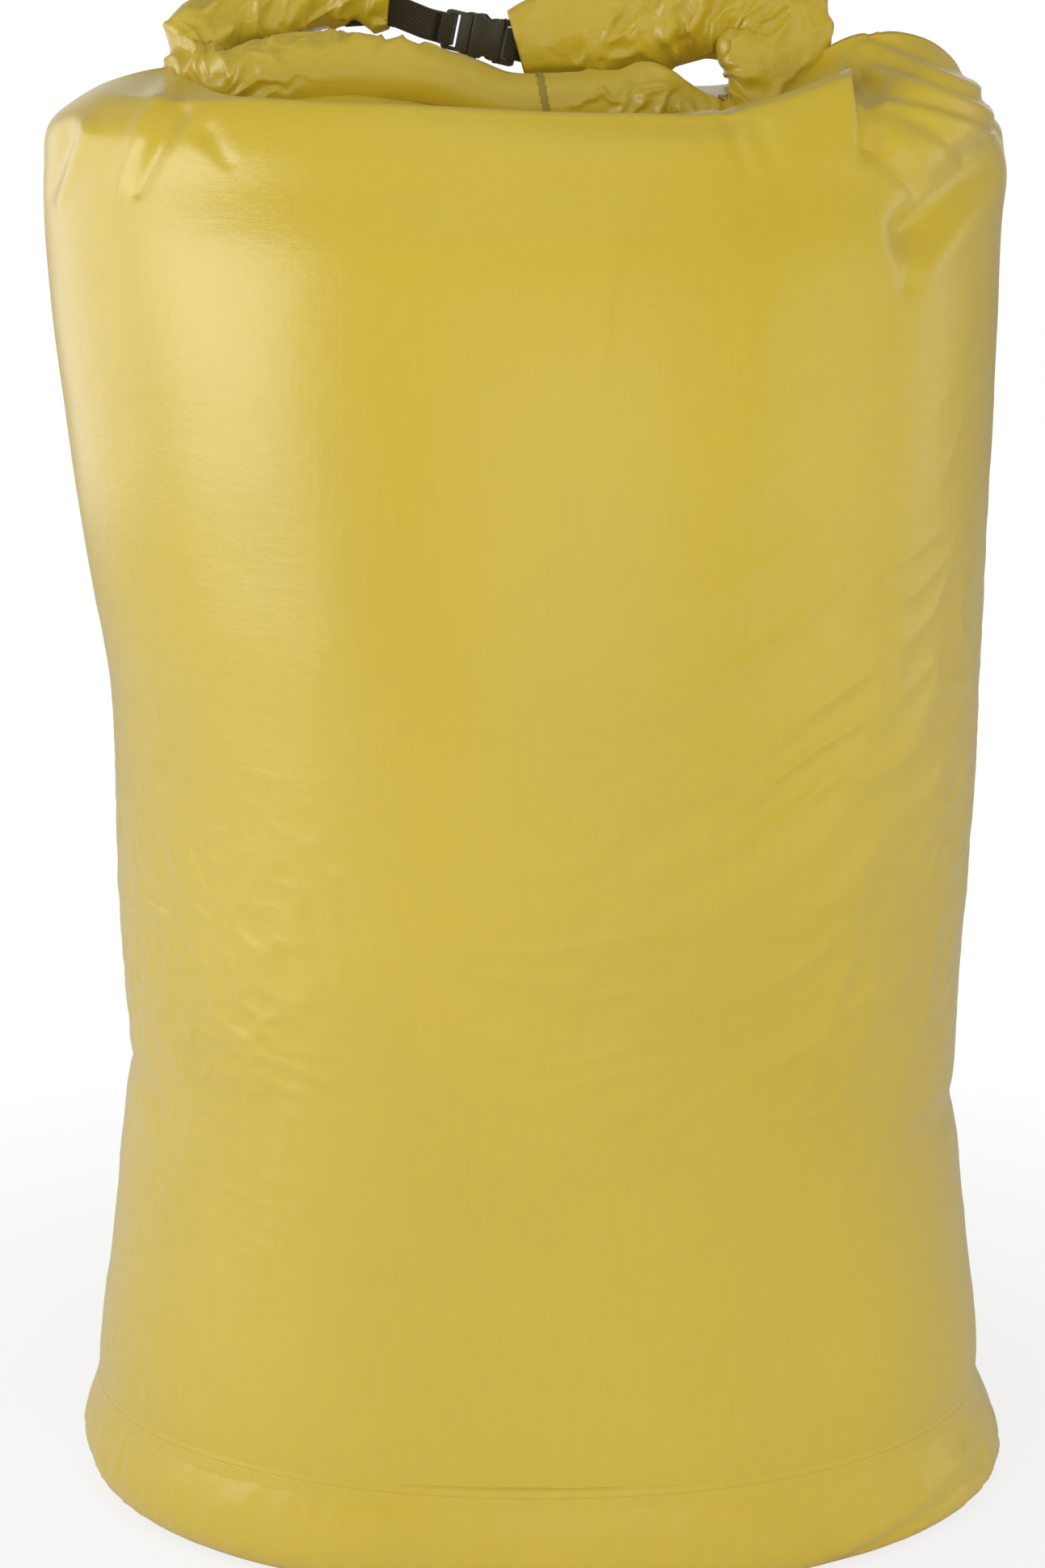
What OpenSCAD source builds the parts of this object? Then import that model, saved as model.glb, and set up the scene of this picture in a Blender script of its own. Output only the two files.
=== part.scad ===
// Roll-top sack: a coated-fabric tube on an oval base, its mouth rolled down three turns and
// bent round into a carry loop that a small side-release buckle closes.
// +X is the wearer's right as seen from the front, -Y is the front, +Z is up, z = 0 is the floor.

/* [Sack] */
// Width of the sack across its top corners
sack_w = 392; // [320:1:480]
// Depth of the sack, front to back, at its fullest
sack_d = 336; // [280:1:420]
// Height of the wall, from the floor to the top corners
wall_h = 575; // [480:1:700]
// Thickness of the coated fabric with its lining film
fabric_t = 0.8; // [0.6:0.1:1.2]
// Height of the seam that joins the base to the wall
base_seam_h = 42; // [34:1:60]
// Sideways lean of the top of the wall, to the left
top_lean = 5.5; // [0:0.5:10]

/* [Shoulders] */
// Rise of the left shoulder over the top corners
left_shoulder = 22; // [10:1:30]
// Rise of the right shoulder over the top corners
right_shoulder = 37; // [10:1:45]
// Rise of the front crest of the top panel over the top corners
crest_rise = 4; // [2:1:8]

/* [Seams] */
// Width of the folded seams on the outside
seam_w = 9; // [6:0.5:12]
// Thickness of a folded seam
seam_t = 0.7; // [0.4:0.1:1]
// Width of the sealing tape on the inside
tape_w = 20; // [14:1:26]
// Thickness of the sealing tape
tape_t = 0.3; // [0.2:0.1:0.5]

/* [Roll] */
// Half height of the rolled mouth along the front
roll_half_h = 13; // [11:0.5:14]
// Half depth of the rolled mouth
roll_half_d = 12; // [10:0.5:13]
// Width of the stiffener strip inside the mouth hem
stiffener_w = 12; // [9:0.5:13]
// Thickness of the stiffener strip
stiffener_t = 0.8; // [0.5:0.1:1]

/* [Webbing and buckle] */
// Width of the webbing
web_w = 12.5; // [10:0.5:13]
// Thickness of the webbing
web_t = 1.2; // [0.8:0.1:1.3]
// Outside width of the buckle
buckle_w = 18; // [17.5:0.5:20]
// Outside thickness of the buckle housing
buckle_t = 6.4; // [6:0.2:8]
// Length of the buckle housing
housing_l = 19; // [18.5:0.5:22]
// Thickness of the moulded prongs
prong_t = 3; // [2.6:0.2:3.2]

/* [Hidden] */

fabric_colour = "goldenrod";
fabric_shade = "darkgoldenrod";
trim_colour = "#2b2620";

fit_gap = 0.3;        // clearance between soft solids, and between moving plastic parts
film_gap = 0.05;      // clearance between layers that lie on each other
around = 48;          // points round the sack
roll_sides = 16;      // points round the roll
hem_sides = 10;       // points round the hem inside it
curve_steps = 4;      // rings between two points of a path

// ---- small vector and curve functions ----
function unit(v) = v / norm(v);
function mix(a, b, t) = a + (b - a) * t;
function smooth(t) = t * t * (3 - 2 * t);
function clamp01(t) = min(1, max(0, t));
function power_keep_sign(x, n) = sign(x) * pow(abs(x), n);
// Catmull-Rom value between b and c
function spline4(a, b, c, d, t) =
    0.5 * ((2 * b) + (c - a) * t + (2 * a - 5 * b + 4 * c - d) * t * t
           + (3 * b - a - 3 * c + d) * t * t * t);
// Value at h of a table of rows that start with the height
function table_at(table, h, i = 0) =
    h <= table[0][0] ? table[0]
    : i >= len(table) - 1 ? table[len(table) - 1]
    : h <= table[i + 1][0]
        ? spline4(table[max(i - 1, 0)], table[i], table[i + 1], table[min(i + 2, len(table) - 1)],
                  (h - table[i][0]) / (table[i + 1][0] - table[i][0]))
        : table_at(table, h, i + 1);
// A path through points, with curve_steps rings to each span
function spline_path(pts) = [
    for (i = [0 : len(pts) - 2], s = [0 : curve_steps - 1])
        spline4(i == 0 ? 2 * pts[0] - pts[1] : pts[i - 1], pts[i], pts[i + 1],
                i + 2 > len(pts) - 1 ? 2 * pts[i + 1] - pts[i] : pts[i + 2], s / curve_steps),
    pts[len(pts) - 1]];

// ---- closed solids between two grids of points ----
// Rows run along the piece. With wrap, the last column joins the first.
module solid_between(outer, inner, wrap = true) {
    rows = len(outer);
    cols = len(outer[0]);
    n = rows * cols;
    last = wrap ? cols - 1 : cols - 2;
    function at(r, c) = r * cols + (c % cols);
    points = concat([for (row = outer, p = row) p], [for (row = inner, p = row) p]);
    skin = [for (r = [0 : rows - 2], c = [0 : last])
        each [[at(r, c), at(r + 1, c), at(r + 1, c + 1)], [at(r, c), at(r + 1, c + 1), at(r, c + 1)]]];
    lining = [for (r = [0 : rows - 2], c = [0 : last])
        each [[n + at(r, c), n + at(r + 1, c + 1), n + at(r + 1, c)],
              [n + at(r, c), n + at(r, c + 1), n + at(r + 1, c + 1)]]];
    ends = [for (c = [0 : last])
        each [[at(0, c), at(0, c + 1), n + at(0, c + 1)], [at(0, c), n + at(0, c + 1), n + at(0, c)],
              [at(rows - 1, c), n + at(rows - 1, c + 1), at(rows - 1, c + 1)],
              [at(rows - 1, c), n + at(rows - 1, c), n + at(rows - 1, c + 1)]]];
    sides = wrap ? [] : [for (r = [0 : rows - 2])
        each [[at(r, 0), n + at(r, 0), at(r + 1, 0)], [n + at(r, 0), n + at(r + 1, 0), at(r + 1, 0)],
              [at(r, cols - 1), at(r + 1, cols - 1), n + at(r, cols - 1)],
              [n + at(r, cols - 1), at(r + 1, cols - 1), n + at(r + 1, cols - 1)]]];
    polyhedron(points, concat(skin, lining, ends, sides), convexity = 8);
}

// ---- outline of the sack ----
// share of the wall's height, half width, half depth, share of the lean, squareness
outline = [
    [0,     0.940, 0.900,  0.3, 0.92],
    [0.006, 0.985, 0.935,  0.3, 0.92],
    [0.030, 1.017, 0.955,  0.3, 0.93],
    [0.078, 0.975, 0.945,  0.2, 0.94],
    [0.190, 0.935, 0.940,  0.2, 0.97],
    [0.290, 0.900, 0.945,  0.2, 1.00],
    [0.435, 0.910, 0.975,  0.3, 1.00],
    [0.590, 0.922, 0.998,  0.4, 1.00],
    [0.740, 0.960, 0.990, -0.6, 1.00],
    [0.857, 0.988, 0.950, -1.0, 1.00],
    [0.944, 0.998, 0.860, -1.0, 1.00],
    [0.985, 0.990, 0.760, -0.9, 1.00],
    [1.000, 0.975, 0.690, -0.9, 1.00]];

// Point of the wall at an angle (0 is +X, 90 the back) and a height, pushed out by off
function wall_point(angle, h, off) =
    let (row = table_at(outline, h / wall_h),
         a = row[1] * sack_w / 2 + off,
         b = row[2] * sack_d / 2 + off)
    [a * power_keep_sign(cos(angle), row[4]) + row[3] * top_lean,
     b * power_keep_sign(sin(angle), row[4]), h];
function wall_ring(h, off) = [for (i = [0 : around - 1]) wall_point(360 * i / around, h, off)];
function steps(from, to, n) = [for (i = [0 : n]) mix(from, to, i / n)];

// Heights of the rows that the base, the wall and everything lying on them share
tape_rows = [base_seam_h - tape_w / 2, base_seam_h - seam_w / 2, base_seam_h,
             base_seam_h + seam_w / 2, base_seam_h + tape_w / 2];
tray_rows = concat([0, 3, 8, 14, 21], [for (k = [0 : 2]) tape_rows[k]]);
body_rows = concat([base_seam_h + film_gap, tape_rows[3], tape_rows[4]],
                   [for (i = [1 : 16]) mix(tape_rows[4], wall_h, i / 16)]);
wall_rows = concat(tray_rows, body_rows);
// The shared row just under a height
function row_under(h, i = 0) =
    i + 2 >= len(wall_rows) || h < wall_rows[i + 1] ? i : row_under(h, i + 1);
// Rings and strips lie on the flat facets between shared rows, so that layers keep their gap.
function flat_ring(h, off) =
    let (i = row_under(h),
         low = wall_ring(wall_rows[i], off),
         high = wall_ring(wall_rows[i + 1], off),
         t = (h - wall_rows[i]) / (wall_rows[i + 1] - wall_rows[i]))
    [for (k = [0 : around - 1]) mix(low[k], high[k], t)];

module band(heights, off_out, off_in) {
    solid_between([for (h = heights) flat_ring(h, off_out)], [for (h = heights) flat_ring(h, off_in)]);
}

module body_panel() {
    color(fabric_colour) band(body_rows, 0, -fabric_t);
}

// The base is a shallow tray: a flat oval floor with its edge turned up to the seam.
module base_panel() {
    outer = [for (h = tray_rows) wall_ring(h, 0)];
    inner = [for (h = tray_rows) wall_ring(max(h, fabric_t), -fabric_t)];
    n = around;
    rows = len(tray_rows);
    total = rows * n;
    points = concat([for (row = outer, p = row) p], [for (row = inner, p = row) p]);
    function at(r, c) = r * n + (c % n);
    skin = [for (r = [0 : rows - 2], c = [0 : n - 1])
        each [[at(r, c), at(r + 1, c), at(r + 1, c + 1)], [at(r, c), at(r + 1, c + 1), at(r, c + 1)]]];
    lining = [for (r = [0 : rows - 2], c = [0 : n - 1])
        each [[total + at(r, c), total + at(r + 1, c + 1), total + at(r + 1, c)],
              [total + at(r, c), total + at(r, c + 1), total + at(r + 1, c + 1)]]];
    rim = [for (c = [0 : n - 1])
        each [[at(rows - 1, c), total + at(rows - 1, c + 1), at(rows - 1, c + 1)],
              [at(rows - 1, c), total + at(rows - 1, c), total + at(rows - 1, c + 1)]]];
    floor_out = [[for (c = [0 : n - 1]) at(0, c)]];
    floor_in = [[for (c = [n - 1 : -1 : 0]) total + at(0, c)]];
    color(fabric_colour)
        polyhedron(points, concat(skin, lining, rim, floor_out, floor_in), convexity = 6);
}

// ---- top panel: from the rim of the wall to the line where the mouth closes ----
closure_left = -130;
closure_right = 62;
closure_y = -32;
closure_half_gap = 0.15;
axis_z = wall_h + 10;                       // axis on which the roll tilts, and the roll's own axis
closure_z = axis_z - roll_half_h - fit_gap; // top of the closing line, just under the roll
function closure_point(angle, off) =
    [mix(closure_left, closure_right, (1 + cos(angle)) / 2) + off * cos(angle),
     closure_y + (closure_half_gap + fabric_t + off) * sin(angle), closure_z + off];
// Height of a rounded rise centred on x0, y0
function rise(x, y, x0, y0, rx, ry, height) =
    height * pow(cos(90 * clamp01(abs(x - x0) / rx)), 2) * pow(cos(90 * clamp01(abs(y - y0) / ry)), 2);
function shoulders(x, y) =
    rise(x, y, -160, 42, 50, 62, left_shoulder) + rise(x, y, 134, 48, 58, 62, right_shoulder);
function top_point(angle, t, off) =
    let (rim = wall_point(angle, wall_h, off),
         line = closure_point(angle, off),
         along = pow(t, 0.85),
         x = mix(rim[0], line[0], along),
         y = mix(rim[1], line[1], along),
         front = sin(angle) < 0 ? -sin(angle) : 0,
         crown = crest_rise * sin(180 * pow(t, 0.8)) * (0.2 + 0.8 * front))
    [x, y, mix(wall_h, line[2], smooth(t)) + crown + shoulders(x, y) * sin(180 * pow(t, 0.7))
           + off * sin(180 * t / 2)];
function top_ring(t, off) = [for (i = [0 : around - 1]) top_point(360 * i / around, t, off)];
top_rows = [0, 0.06, 0.14, 0.24, 0.34, 0.46, 0.58, 0.7, 0.82, 0.92, 1];
module top_panel() {
    color(fabric_colour)
    translate([0, 0, film_gap])
        solid_between([for (t = top_rows) top_ring(t, 0)], [for (t = top_rows) top_ring(t, -fabric_t)]);
}

// ---- seams, tapes and stitching ----
back = around / 4;   // the ring's point on the back's centre line
// The points of a ring from one distance to another either side of the back's centre line
function across_back(ring, from, to) =
    let (step = abs(ring[back][0] - ring[back + 1][0]))
    [for (d = from < 0 && to > 0 ? [from, 0, to] : [from, to])
        mix(ring[back], ring[d < 0 ? back + 1 : back - 1], abs(d) / step)];
module back_strip(heights, from, to, off_out, off_in) {
    solid_between([for (h = heights) across_back(flat_ring(h, off_out), from, to)],
                  [for (h = heights) across_back(flat_ring(h, off_in), from, to)], wrap = false);
}
function rows_above(h) = concat([h + fit_gap], [for (r = body_rows) if (r > h + fit_gap && r < wall_h) r],
                                [wall_h - 1]);
module base_seam() {
    color(fabric_shade)
        band([for (k = [1 : 3]) tape_rows[k]], film_gap + seam_t, film_gap);
}
module base_seam_tape() {
    color("khaki")
        band(tape_rows, -fabric_t - film_gap, -fabric_t - film_gap - tape_t);
}
module back_seam() {
    color(fabric_shade)
        back_strip(rows_above(tape_rows[3]), -seam_w / 2, seam_w / 2, film_gap + seam_t, film_gap);
}
module back_seam_tape() {
    color("khaki")
        back_strip(rows_above(tape_rows[4]), -tape_w / 2, tape_w / 2,
                   -fabric_t - film_gap, -fabric_t - film_gap - tape_t);
}
// The seam carries on over the back of the top panel to the roll.
module top_seam() {
    rows = [for (t = top_rows) if (t < 0.9) t];
    color(fabric_shade)
    translate([0, 0, film_gap])
        solid_between([for (t = rows) across_back(top_ring(t, film_gap + seam_t), -seam_w / 2, seam_w / 2)],
                      [for (t = rows) across_back(top_ring(t, film_gap), -seam_w / 2, seam_w / 2)],
                      wrap = false);
}
// Lines of thread lying on the seams
thread_r = 0.25;
thread_lift = 2 * film_gap + seam_t;
thread_line = seam_w / 2 - 1.6;   // from the middle of a seam to each row of stitches
module base_stitching() {
    color("gold")
    for (side = [-1, 1])
        band([for (d = [-thread_r, thread_r]) base_seam_h + side * thread_line + d],
             thread_lift + 2 * thread_r, thread_lift);
}
module back_stitching() {
    color("gold")
    for (side = [-1, 1])
        back_strip(rows_above(tape_rows[3] + fit_gap), side * thread_line - thread_r,
                   side * thread_line + thread_r, thread_lift + 2 * thread_r, thread_lift);
}

// ---- the roll: x, y, z of its middle, then half height and half depth ----
roll_z = axis_z;
left_turn_x = -119;    // middle of the left turn, which is a half circle seen from above
left_turn_r = 18;
right_split_x = 58;    // where the front of the roll ends and the right arm starts
front_pts = [
    [left_turn_x, closure_y, roll_z + 11, roll_half_h + 1,   roll_half_d],
    [ -100, closure_y, roll_z + 11, roll_half_h + 2,   roll_half_d],
    [  -76, closure_y, roll_z + 11, roll_half_h + 2.5, roll_half_d],
    [  -50, closure_y, roll_z + 6,  roll_half_h + 1,   roll_half_d],
    [  -24, closure_y, roll_z + 1,  roll_half_h,       roll_half_d],
    [    0, closure_y, roll_z,      roll_half_h,       roll_half_d],
    [   30, closure_y, roll_z,      roll_half_h,       roll_half_d],
    [right_split_x, closure_y, roll_z, roll_half_h - 1, roll_half_d - 1]];
left_pts = concat(
    [for (k = [0 : 6]) let (a = -90 - 30 * k)
        [left_turn_x + left_turn_r * cos(a) - fit_gap, closure_y + left_turn_r * (1 + sin(a)),
         roll_z + 11 + 2.6 * k, mix(roll_half_h + 1, roll_half_h - 1, k / 6),
         mix(roll_half_d, roll_half_d - 1, k / 6)]],
    [[-99, closure_y + 36, roll_z + 31, roll_half_h, roll_half_d - 1],
     [-78, closure_y + 36, roll_z + 35, roll_half_h - 1, roll_half_d - 2],
     [-58, closure_y + 34, roll_z + 37, roll_half_h - 2, roll_half_d - 3]]);
right_pts = [
    [right_split_x + fit_gap, closure_y, roll_z, roll_half_h - 1, roll_half_d - 1],
    [ 76, closure_y,      roll_z + 1,  roll_half_h - 1, roll_half_d - 1],
    [ 95, closure_y + 3,  roll_z + 6,  roll_half_h - 1, roll_half_d - 1],
    [109, closure_y + 9,  roll_z + 19, roll_half_h,     roll_half_d - 1],
    [108, closure_y + 15, roll_z + 35, roll_half_h,     roll_half_d - 1],
    [ 93, closure_y + 20, roll_z + 45, roll_half_h + 2, roll_half_d - 1],
    [ 71, closure_y + 21, roll_z + 43, roll_half_h + 3, roll_half_d - 1],
    [ 44, closure_y + 21, roll_z + 34, roll_half_h + 3, roll_half_d - 1],
    [ 18, closure_y + 21, roll_z + 27, roll_half_h + 1, roll_half_d - 2],
    [ -1, closure_y + 21, roll_z + 21, roll_half_h - 2, roll_half_d - 3]];

function place(row) = [row[0], row[1], row[2]];
function tangents(path, first = undef, last = undef) = [for (i = [0 : len(path) - 1])
    i == 0 && first != undef ? first
    : i == len(path) - 1 && last != undef ? last
    : unit(place(path[min(i + 1, len(path) - 1)]) - place(path[max(i - 1, 0)]))];
// Rings of an oval tube whose height axis follows up and whose depth axis is square to it.
// Each ring has the half sizes of its row, or those of core when that is given.
function oval_ring(row, tan, up, sides, core) =
    let (h_axis = unit(up - (up * tan) * tan),
         d_axis = cross(tan, h_axis),
         half_h = core == undef ? row[3] : core[0],
         half_d = core == undef ? row[4] : core[1])
    [for (i = [0 : sides - 1])
        place(row) + h_axis * half_h * cos(360 * i / sides) + d_axis * half_d * sin(360 * i / sides)];
// The right arm turns in a vertical plane, so there the depth axis is the one that is kept.
function upright(path) = [for (tan = tangents(path, [1, 0, 0])) cross([0, -1, 0], tan)];
function level(path) = [for (p = path) [0, 0, 1]];
function oval_tube(path, ups, sides, first, core = undef) =
    let (tans = tangents(path, first))
    [for (i = [0 : len(path) - 1]) oval_ring(path[i], tans[i], ups[i], sides, core)];

// Half height and half depth of the hem, of the channel it runs in and of its own inside
hem_t = 1.3;
channel_gap = 0.4;
hem_core = [stiffener_w / 2 + 2.4, stiffener_t / 2 + 2.1];
channel = [hem_core[0] + channel_gap, hem_core[1] + channel_gap];
hem_inside = [hem_core[0] - hem_t, hem_core[1] - hem_t];

// A length of the roll, which starts square to first
module roll_part(path, ups, first) {
    color(fabric_colour)
        solid_between(oval_tube(path, ups, roll_sides, first),
                      oval_tube(path, ups, roll_sides, first, channel));
}
left_out = spline_path(left_pts);
front_path = spline_path(front_pts);
right_path = spline_path(right_pts);
module roll_front() { roll_part(front_path, level(front_path), [1, 0, 0]); }
module roll_left_arm() { roll_part(left_out, level(left_out), [-1, 0, 0]); }
module roll_right_arm() { roll_part(right_path, upright(right_path), [1, 0, 0]); }

// The hem and its stiffener run inside the roll, and stop short of both its ends, where the
// webbing is sewn to them.
left_trim = 2;   // rings that the hem stops short of the left end
right_trim = 1;  // and of the right end
function reversed(list) = [for (i = [len(list) - 1 : -1 : 0]) list[i]];
function without(list, first, last) = [for (i = [first : len(list) - 1 - last]) list[i]];
left_path = reversed(left_out);
core_path = concat(without(left_path, left_trim, 1), without(front_path, 0, 1),
                   without(right_path, 0, right_trim));
core_ups = concat(level(without(left_path, left_trim, 1)), level(without(front_path, 0, 1)),
                  without(upright(right_path), 0, right_trim));
module mouth_hem() {
    color(fabric_shade)
        solid_between(oval_tube(core_path, core_ups, hem_sides, undef, hem_core),
                      oval_tube(core_path, core_ups, hem_sides, undef, hem_inside));
}
module mouth_stiffener() {
    tans = tangents(core_path);
    function row(i, side) =
        let (h_axis = unit(core_ups[i] - (core_ups[i] * tans[i]) * tans[i]),
             d_axis = cross(tans[i], h_axis))
        [for (k = [-1, 1]) place(core_path[i]) + h_axis * k * stiffener_w / 2
                           + d_axis * side * stiffener_t / 2];
    color("white")
        solid_between([for (i = [0 : len(core_path) - 1]) row(i, 1)],
                      [for (i = [0 : len(core_path) - 1]) row(i, -1)], wrap = false);
}

// ---- buckle, in its own frame: x along it, y through it, z across it; the mouth is at x = 0 ----
buckle_at = [-27, closure_y + 28, axis_z + 25.5];
buckle_tilt = 12;      // the right end hangs lower
buckle_turn = -16.5;   // the right end stands further forward
cavity_half_w = buckle_w / 2 - 1.6;
cavity_half_t = prong_t / 2 + fit_gap;
bar_w = 2.6;
slot_w = 3;
slot_half = web_w / 2 + 0.35;
frame_end = -12;
loop_gap = 0.2;
bar_half_t = 1.6;
module in_buckle() {
    translate(buckle_at) rotate([0, buckle_tilt, buckle_turn]) children();
}
// A plate with an outline drawn in x and z
module plate(thick) {
    rotate([90, 0, 0]) linear_extrude(thick, center = true) children();
}
// A rectangle with round corners, from x0 to x1 and half_w either side of the middle
module rounded(x0, x1, half_w, r) {
    translate([x0 + r, -half_w]) square([x1 - x0 - 2 * r, 2 * half_w]);
    translate([x0, -half_w + r]) square([x1 - x0, 2 * (half_w - r)]);
    for (x = [x0 + r, x1 - r], s = [-1, 1])
        translate([x, s * (half_w - r)]) circle(r, $fn = 32);
}
catch_x = 3;
window_end = 12.4;
module buckle_housing() {
    color(trim_colour)
    in_buckle() difference() {
        union() {
            plate(buckle_t) rounded(fit_gap, housing_l - bar_w - slot_w, buckle_w / 2, 1.2);
            plate(2 * bar_half_t) rounded(housing_l - bar_w - slot_w - 3, housing_l, buckle_w / 2, 1.2);
        }
        translate([-1, -cavity_half_t, -cavity_half_w])
            cube([housing_l - bar_w - slot_w - 0.8 + 1, 2 * cavity_half_t, 2 * cavity_half_w]);
        for (s = [-1, 1]) {
            translate([catch_x, -cavity_half_t, s * (cavity_half_w + 1) - 1.2])
                cube([window_end - catch_x, 2 * cavity_half_t, 2.4]);
            translate([7.7, 0, s * (buckle_w / 2 + 3.4)]) rotate([90, 0, 0])
                cylinder(h = buckle_t + 2, r = 5.2, center = true, $fn = 48);
        }
        translate([housing_l - bar_w - slot_w, -buckle_t, -slot_half])
            cube([slot_w, 2 * buckle_t, 2 * slot_half]);
    }
}
hinge_x = 0.8;
hinge_z = 5.4;
root_r = 0.9;
tongue_l = 5;
module buckle_frame() {
    color(trim_colour)
    in_buckle() {
        difference() {
            plate(2 * bar_half_t) rounded(frame_end, -1.2, buckle_w / 2 - 1, 1.4);
            translate([frame_end + bar_w, -buckle_t, -slot_half])
                cube([slot_w + 0.6, 2 * buckle_t, 2 * slot_half]);
        }
        plate(buckle_t - 0.8) rounded(-3.2, -fit_gap, buckle_w / 2 - 0.4, 0.8);
        plate(prong_t - 0.4) translate([-0.6, -1.1]) square([tongue_l + 0.6, 2.2]);
    }
}
// One sprung prong: a round root, a slim arm and a ramped barb that fills the side window
barb_top = cavity_half_w + 1.1;
module prong(side) {
    color(trim_colour)
    in_buckle() plate(prong_t) scale([1, side]) polygon(concat(
        [for (a = [-90 : -22.5 : -270]) [hinge_x + root_r * cos(a), hinge_z + root_r * sin(a)]],
        [[4, cavity_half_w - 0.7], [6.8, cavity_half_w - 0.4], [7.1, barb_top - 0.7],
         [8.3, barb_top - 0.2], [9.6, barb_top], [10.7, barb_top - 0.4],
         [11.4, cavity_half_w - 0.4], [11.3, 5.6], [10.4, 4.8], [8, 4.9], [4, 5.2]]));
}
module upper_prong() { prong(1); }
module lower_prong() { prong(-1); }

// ---- webbing ----
// Each web is sewn into a flat loop round its bar, closed by a bartack on a short doubled stretch.
tack_l = 3;
sewn_gap = 0.9;   // from the end of the hem to the end of the webbing sewn to it
thread_t = 0.35;
// A loop round a web bar whose middle is at x, with its doubled stretch on one side
module bar_loop(x, side) {
    half = bar_w / 2 + loop_gap;
    in_buckle() translate([x, 0, -web_w / 2]) {
        linear_extrude(web_w) difference() {
            square([2 * (half + web_t), 2 * (bar_half_t + loop_gap + web_t)], center = true);
            square([2 * half, 2 * (bar_half_t + loop_gap)], center = true);
        }
        translate([side > 0 ? half + web_t / 2 : -half - web_t - tack_l, -web_t, 0])
            cube([tack_l + web_t / 2, 2 * web_t, web_w]);
    }
}
// Short dense rows of thread across both faces of the doubled stretch
module bartack(x) {
    color("#15120f") in_buckle()
        for (row = [-1 : 1], y = [web_t + film_gap, -web_t - film_gap - thread_t])
            translate([x + row * 0.8 - 0.25, y, -web_w / 2 + 0.8]) cube([0.5, thread_t, web_w - 1.6]);
}
left_bar_x = frame_end + bar_w / 2;
right_bar_x = housing_l - bar_w / 2;
bar_reach = bar_w / 2 + loop_gap + web_t;   // from a bar's middle to where its loop ends
module left_bartack() { bartack(left_bar_x - bar_reach - tack_l / 2); }
module right_bartack() { bartack(right_bar_x + bar_reach + tack_l / 2); }

// Point of the buckle's own frame, in the frame of the sack
function in_sack(x, y, z) =
    let (along = [cos(buckle_tilt) * cos(buckle_turn), cos(buckle_tilt) * sin(buckle_turn),
                  -sin(buckle_tilt)],
         through = [-sin(buckle_turn), cos(buckle_turn), 0])
    buckle_at + along * x + through * y + cross(along, through) * z;
// A strap of doubled webbing from the end of the hem, along a few points, to the buckle's loop
module strap(hem_end, points, buckle_side) {
    start = hem_end + unit(points[0] - hem_end) * sewn_gap;
    path = spline_path(concat([start], points));
    tans = tangents(path, last = buckle_side * (in_sack(1, 0, 0) - in_sack(0, 0, 0)));
    ups = [for (i = [0 : len(path) - 1]) unit([0, 0, 1] - tans[i][2] * tans[i])];
    function row(i, side) = [for (k = [-1, 1])
        path[i] + ups[i] * k * web_w / 2 + cross(tans[i], ups[i]) * side * web_t];
    solid_between([for (i = [0 : len(path) - 1]) row(i, 1)],
                  [for (i = [0 : len(path) - 1]) row(i, -1)], wrap = false);
}
left_strap_x = left_bar_x - bar_reach - tack_l - film_gap;
right_strap_x = right_bar_x + bar_reach + tack_l + film_gap;
module left_webbing() {
    color(trim_colour)
        strap(place(left_path[left_trim]),
              [place(left_path[0]), in_sack(left_strap_x - 5, 0, 0), in_sack(left_strap_x, 0, 0)], 1);
}
module left_webbing_loop() {
    color(trim_colour) bar_loop(left_bar_x, -1);
}
module right_webbing() {
    color(trim_colour)
        strap(place(right_path[len(right_path) - 1 - right_trim]), [in_sack(right_strap_x, 0, 0)], -1);
}
module right_webbing_loop() {
    color(trim_colour) bar_loop(right_bar_x, 1);
}

body_panel();
base_panel();
top_panel();
base_seam();
back_seam();
top_seam();
base_seam_tape();
back_seam_tape();
base_stitching();
back_stitching();
roll_front();
roll_left_arm();
roll_right_arm();
mouth_hem();
mouth_stiffener();
left_webbing();
left_webbing_loop();
right_webbing();
right_webbing_loop();
left_bartack();
right_bartack();
buckle_housing();
buckle_frame();
upper_prong();
lower_prong();
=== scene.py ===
"""Looks of the roll-top sack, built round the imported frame. Metres, +Z up, -Y to the front.

Sizes in the tables below are millimetres in the frame's own axes, and mm() turns them into metres.
"""

import math

import bmesh
import bpy
import numpy as np
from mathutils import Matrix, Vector


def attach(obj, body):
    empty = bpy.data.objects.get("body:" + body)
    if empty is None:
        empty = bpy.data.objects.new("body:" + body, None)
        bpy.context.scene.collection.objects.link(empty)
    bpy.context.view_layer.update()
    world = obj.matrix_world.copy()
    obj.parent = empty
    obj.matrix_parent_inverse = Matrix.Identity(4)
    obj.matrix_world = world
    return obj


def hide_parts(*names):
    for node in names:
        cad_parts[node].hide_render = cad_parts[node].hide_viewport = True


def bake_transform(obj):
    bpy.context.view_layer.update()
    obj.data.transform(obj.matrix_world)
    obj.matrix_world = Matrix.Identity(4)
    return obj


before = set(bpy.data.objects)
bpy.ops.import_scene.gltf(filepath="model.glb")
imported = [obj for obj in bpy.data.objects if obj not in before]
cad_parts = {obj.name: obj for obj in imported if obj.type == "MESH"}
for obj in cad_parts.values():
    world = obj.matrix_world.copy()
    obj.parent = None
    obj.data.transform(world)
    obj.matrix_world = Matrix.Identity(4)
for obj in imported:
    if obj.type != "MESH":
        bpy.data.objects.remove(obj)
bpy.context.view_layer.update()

MM = 0.001


# ---------------------------------------------------------------- numbers

def mm(values):
    return np.asarray(values, float) * MM


def smooth(t):
    t = np.clip(t, 0.0, 1.0)
    return t * t * (3 - 2 * t)


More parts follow.
